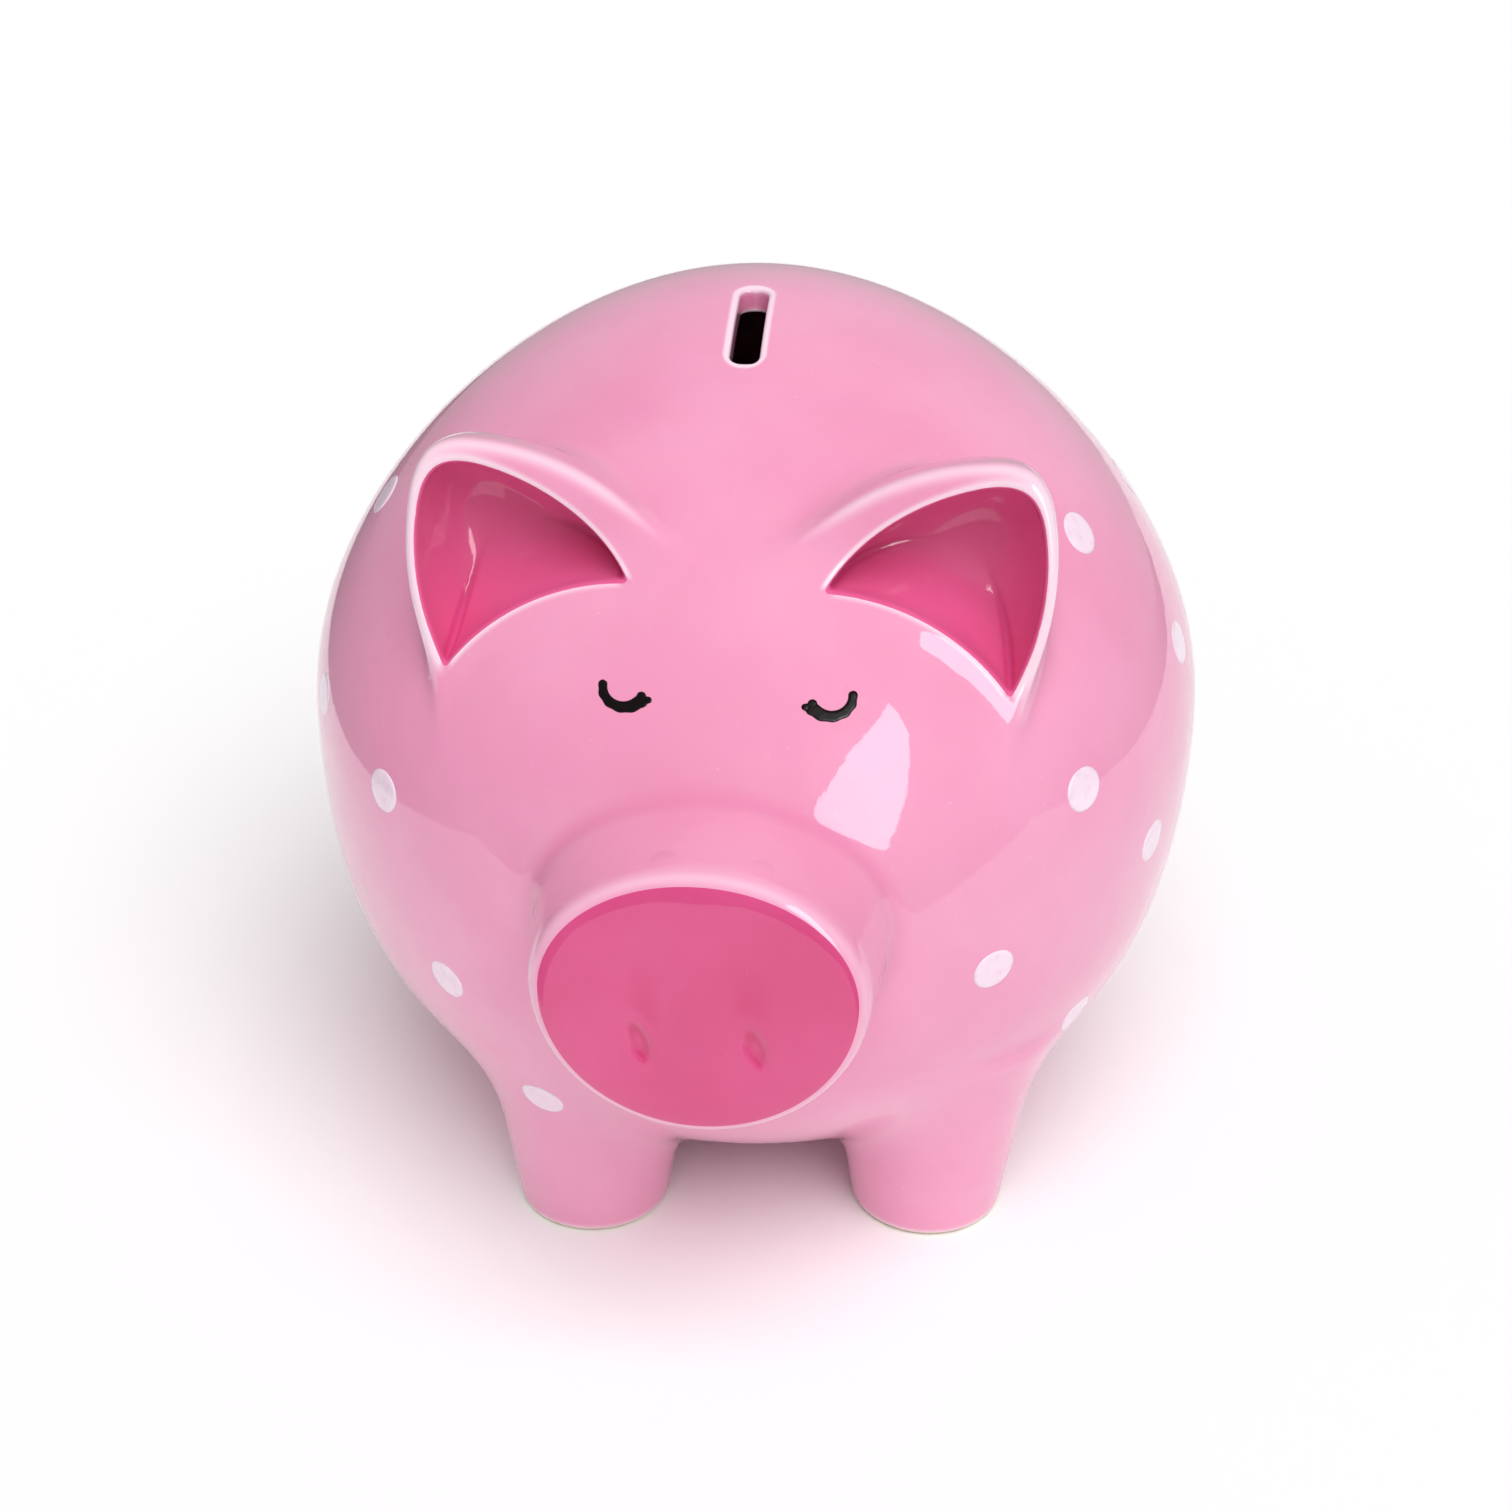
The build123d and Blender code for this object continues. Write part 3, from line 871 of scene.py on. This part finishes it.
def fading_paper():
    """A glowing card for the paper behind the pig: its emission is painted light, brightest at its
    middle and fading into the brightness of the room.
    """
    nodes = Nodes("sweep_paper")
    gap = nodes.tree.nodes.new("ShaderNodeVectorMath")
    gap.operation = "DISTANCE"
    nodes.link(nodes.place, gap.inputs[0])
    gap.inputs[1].default_value = SWEEP_MIDDLE
    strength = nodes.remap(gap.outputs["Value"], *SWEEP_FADE)
    nodes.link(strength, nodes.shader.inputs["Emission Strength"])
    nodes.set(Base_Color=(0, 0, 0, 1), Specular_IOR_Level=0.0, Emission_Color=(1, 1, 1, 1))
    return nodes.material


def stage_sheet(name, corners, material):
    mesh = bpy.data.meshes.new(name)
    mesh.from_pydata(corners, [], [tuple(range(len(corners)))])
    obj = bpy.data.objects.new(name, mesh)
    bpy.context.scene.collection.objects.link(obj)
    mesh.materials.append(material)
    return obj


def only_in_reflections(obj):
    obj.visible_camera = False
    obj.visible_diffuse = False
    obj.visible_shadow = False
    obj.visible_transmission = False


def toward(azimuth, elevation, distance, centre=(0, 0, 0.1)):
    """A point that far from the pig, with azimuth from its snout towards its left."""
    az, el = math.radians(azimuth), math.radians(elevation)
    out = Vector((math.sin(az) * math.cos(el), -math.cos(az) * math.cos(el), math.sin(el)))
    return Vector(centre) + distance * out


def soft_sun(name, azimuth, elevation, strength, spread):
    """Even light from one side of the sky, which leaves no hot spot on the glaze."""
    data = bpy.data.lights.new(name, "SUN")
    data.energy, data.angle = strength, math.radians(spread)
    sun = bpy.data.objects.new(name, data)
    direction = toward(azimuth, elevation, 1.0, (0, 0, 0))
    sun.rotation_euler = direction.to_track_quat("Z", "Y").to_euler()
    sun.visible_glossy = False
    bpy.context.scene.collection.objects.link(sun)


def build_stage():
    floor_corners = [(x, y, -0.0002) for x, y in ((-4, -4), (4, -4), (4, 4), (-4, 4))]
    floor = stage_sheet("floor", floor_corners, plain("floor_paint", (0.97, 0.97, 0.97)))
    floor.visible_glossy = False
    sheet_corners = [(x, y, -0.0001) for x, y in SHEET]
    sheet = stage_sheet("white_sheet", sheet_corners, plain("sheet_paper", (0.95, 0.95, 0.95)))
    only_in_reflections(sheet)
    back = [
        (SWEEP_MIDDLE[0] + u * SWEEP_SPREAD, SWEEP_MIDDLE[1], v * SWEEP_SPREAD)
        for u, v in ((-1, 0), (1, 0), (1, 1), (-1, 1))
    ]
    only_in_reflections(stage_sheet("white_sweep", back, fading_paper()))
    window_corners = [toward(*corner, WINDOW_DISTANCE) for corner in WINDOW]
    glow = plain("window_light", (1, 1, 1), WINDOW_STRENGTH)
    only_in_reflections(stage_sheet("window", window_corners, glow))


def build_world():
    """Pale to the camera, and a dimmer room in reflections."""
    world = bpy.data.worlds.new("room")
    bpy.context.scene.world = world
    world.use_nodes = True
    tree = world.node_tree
    ray = tree.nodes.new("ShaderNodeLightPath")
    colour = (AMBIENT,) * 3
    for output, seen in (("Is Camera Ray", (1, 1, 1)), ("Is Glossy Ray", DIM_ROOM)):
        mix = tree.nodes.new("ShaderNodeMix")
        mix.data_type = "RGBA"
        tree.links.new(ray.outputs[output], mix.inputs["Factor"])
        if isinstance(colour, tuple):
            mix.inputs[6].default_value = (*colour, 1)
        else:
            tree.links.new(colour, mix.inputs[6])
        mix.inputs[7].default_value = (*seen, 1)
        colour = mix.outputs[2]
    tree.links.new(colour, tree.nodes["Background"].inputs["Color"])


CAMERA_TARGET = Vector((0.00016, 0, 0.0856))
CAMERA_ANGLES = (5.0, 30.5, 0.7)  # azimuth, elevation and roll
CAMERA_DISTANCE = 0.6091
CAMERA_LENS, CAMERA_SENSOR = 61.905, 36.0


def build_camera():
    data = bpy.data.cameras.new("camera")
    data.lens, data.sensor_width = CAMERA_LENS, CAMERA_SENSOR
    camera = bpy.data.objects.new("camera", data)
    bpy.context.scene.collection.objects.link(camera)
    azimuth, elevation, roll = CAMERA_ANGLES
    camera.location = toward(azimuth, elevation, CAMERA_DISTANCE, CAMERA_TARGET)
    level = (camera.location - CAMERA_TARGET).to_track_quat("Z", "Y").to_matrix()
    camera.rotation_euler = (level @ Matrix.Rotation(math.radians(roll), 3, "Z")).to_euler()
    bpy.context.scene.camera = camera


build_stage()
build_world()
soft_sun("key", *KEY)
build_camera()
bpy.context.scene.view_settings.view_transform = "Standard"
